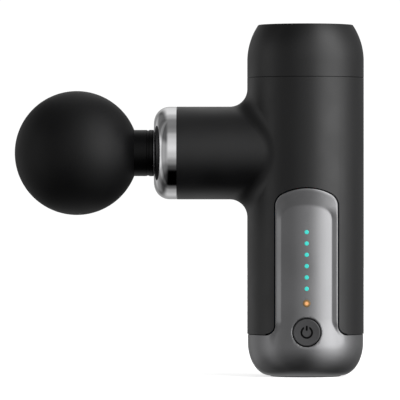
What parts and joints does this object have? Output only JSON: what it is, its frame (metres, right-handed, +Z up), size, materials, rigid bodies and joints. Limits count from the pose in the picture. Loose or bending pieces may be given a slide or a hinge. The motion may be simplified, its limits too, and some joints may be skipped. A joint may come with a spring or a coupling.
{
  "type": "massage gun",
  "caption": "Compact T-shaped percussion massage gun with a ball head, chrome nose ring and a recessed control panel on its handle.",
  "frame": {"origin": "centre of the foot pad's underside, on the axis of the handle", "axes": "+Z up along the handle, -X along the barrel towards the ball head, -Y towards the control panel"},
  "size_m": [0.1396, 0.0496, 0.1404],
  "materials": {
    "housing_black": "matte",
    "cap_black": "matte",
    "gunmetal": "satin",
    "foot_rubber": "matte",
    "nose_chrome": "polished",
    "seal_rubber": "matte",
    "button_grey": "satin",
    "symbol_black": "gloss",
    "switch_plastic": "matte",
    "cyan_light": "gloss",
    "amber_light": "gloss",
    "circuit_green": "satin",
    "screw_steel": "satin",
    "led_ceramic": "satin",
    "chip_black": "satin",
    "socket_steel": "satin",
    "cell_wrap": "satin",
    "inner_plastic": "matte",
    "nickel": "satin",
    "insulator_paper": "matte",
    "cast_aluminium": "satin",
    "bushing_white": "satin",
    "bushing_brass": "satin",
    "piston_aluminium": "satin",
    "pin_steel": "polished",
    "wheel_steel": "satin",
    "core_steel": "satin",
    "copper_wire": "gloss",
    "magnet_nickel": "satin",
    "lead_sleeve": "satin",
    "neck_black": "satin",
    "ball_rubber": "matte"
  },
  "bodies": {
    "housing": {"front_shell": "housing_black", "rear_shell": "housing_black", "shell_screws": "screw_steel", "top_cap": "cap_black", "base_cap": "gunmetal", "foot_pad": "foot_rubber", "nose_ring": "nose_chrome", "dust_seal": "seal_rubber", "speed_light_pipes": "cyan_light", "charge_light_pipe": "amber_light", "control_board": "circuit_green", "board_screws": "screw_steel", "status_leds": "led_ceramic", "tact_switch": "switch_plastic", "control_chips": "chip_black", "charge_board": "circuit_green", "charge_board_screws": "screw_steel", "charge_chips": "chip_black", "usb_c_socket": "socket_steel", "battery_cells": "cell_wrap", "battery_cradle": "inner_plastic", "cell_tabs": "nickel", "cell_insulators": "insulator_paper", "drive_frame": "cast_aluminium", "front_bushing": "bushing_white", "rear_bushing": "bushing_white", "barrel_dampers": "seal_rubber", "motor_mount": "cast_aluminium", "motor_mount_screws": "screw_steel", "motor_bearings": "pin_steel", "stator_core": "core_steel", "stator_windings": "copper_wire", "motor_leads": "lead_sleeve", "battery_leads": "lead_sleeve", "charge_leads": "lead_sleeve"},
    "rotor": {"flywheel": "wheel_steel", "rotor_can": "wheel_steel", "rotor_magnets": "magnet_nickel", "motor_shaft": "pin_steel"},
    "piston": {"piston": "piston_aluminium", "wrist_pin": "pin_steel"},
    "rod": {"connecting_rod": "cast_aluminium", "big_end_bearing": "pin_steel", "small_end_bush": "bushing_brass", "crank_pin": "pin_steel"},
    "head": {"head_stem": "neck_black", "stem_seals": "seal_rubber", "ball_core": "inner_plastic", "ball_core_lid": "inner_plastic", "ball_skin": "ball_rubber"},
    "button": {"power_button": "button_grey", "power_symbol": "symbol_black", "switch_plunger": "switch_plastic"}
  },
  "joints": [
    {"name": "motor_spin", "type": "hinge", "parent": "housing", "child": "rotor", "pos_m": [0, 0, 0.1], "axis": [0, 0, 1], "continuous": true},
    {"name": "piston_slide", "type": "slide", "parent": "housing", "child": "piston", "axis": [-1, 0, 0], "range_m": [0, 0.007]},
    {"name": "rod_swing", "type": "hinge", "parent": "piston", "child": "rod", "pos_m": [-0.0285, 0, 0.0892], "axis": [0, 0, 1], "range_deg": [-6.28, 6.28]},
    {"name": "head_release", "type": "slide", "parent": "piston", "child": "head", "axis": [-1, 0, 0], "range_m": [0, 0.024]},
    {"name": "button_press", "type": "slide", "parent": "housing", "child": "button", "axis": [0, 1, 0], "range_m": [0, 0.0005], "stiffness_N_per_m": 3000}
  ]
}
